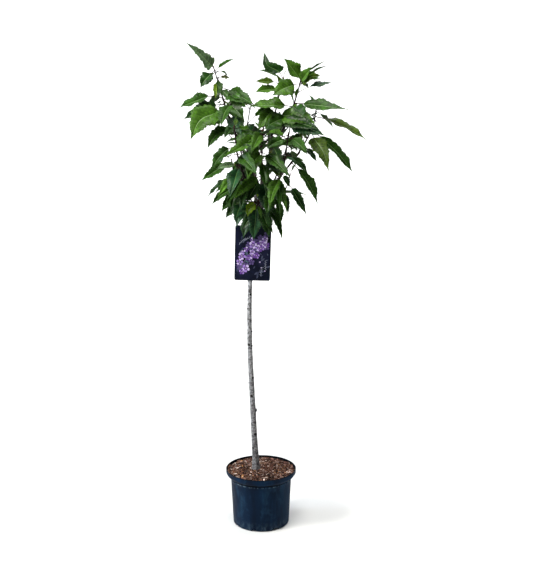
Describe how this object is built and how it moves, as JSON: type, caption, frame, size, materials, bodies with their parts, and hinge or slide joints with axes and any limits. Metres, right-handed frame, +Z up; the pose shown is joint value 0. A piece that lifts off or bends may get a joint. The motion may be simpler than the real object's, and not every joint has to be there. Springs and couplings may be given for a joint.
{
  "type": "potted japanese cherry tree",
  "caption": "Young Japanese cherry grown as a small standard tree: slim bare stem, open upright crown of long pointed leaves, hanging plant label, and a round dark nursery pot of bark mulch.",
  "frame": {"origin": "middle of the pot's flat underside", "axes": "+Z up along the pot's axis, -Y towards the front, which the plant label faces, and +X to the right seen from the front"},
  "size_m": [0.603, 0.4899, 1.6558],
  "materials": {
    "pot_plastic": "dark blue-black moulded polypropylene, satin, with soft vertical streaks and scuffs",
    "bark_mulch": "rough chips of bark in browns, greys and a few tan ones",
    "bark": "light grey-brown young cherry bark with lenticels and small knots",
    "foliage": "glossy deep green leaves, some lighter, with paler undersides and purple-red stalks",
    "label_card": null
  },
  "bodies": {
    "root": {"pot": "pot_plastic", "growing_medium": "bark_mulch", "trunk": "bark", "plant_label": "label_card", "bough_left": "bark", "bough_left_inner": "bark", "bough_leader": "bark", "bough_centre_right": "bark", "bough_right": "bark", "bough_front_left": "bark", "bough_front_right": "bark", "bough_front_middle": "bark", "bough_back_left": "bark", "bough_back_right": "bark", "bough_back_middle": "bark", "bough_low_left": "bark", "bough_low_right": "bark", "foliage_left": "foliage", "foliage_left_inner": "foliage", "foliage_leader": "foliage", "foliage_centre_right": "foliage", "foliage_right": "foliage", "foliage_front_left": "foliage", "foliage_front_right": "foliage", "foliage_front_middle": "foliage", "foliage_back_left": "foliage", "foliage_back_right": "foliage", "foliage_back_middle": "foliage", "foliage_low_left": "foliage", "foliage_low_right": "foliage", "foliage_collar_front": "foliage", "foliage_collar_back": "foliage", "foliage_collar_right": "foliage", "foliage_collar_left": "foliage"}
  },
  "joints": []
}
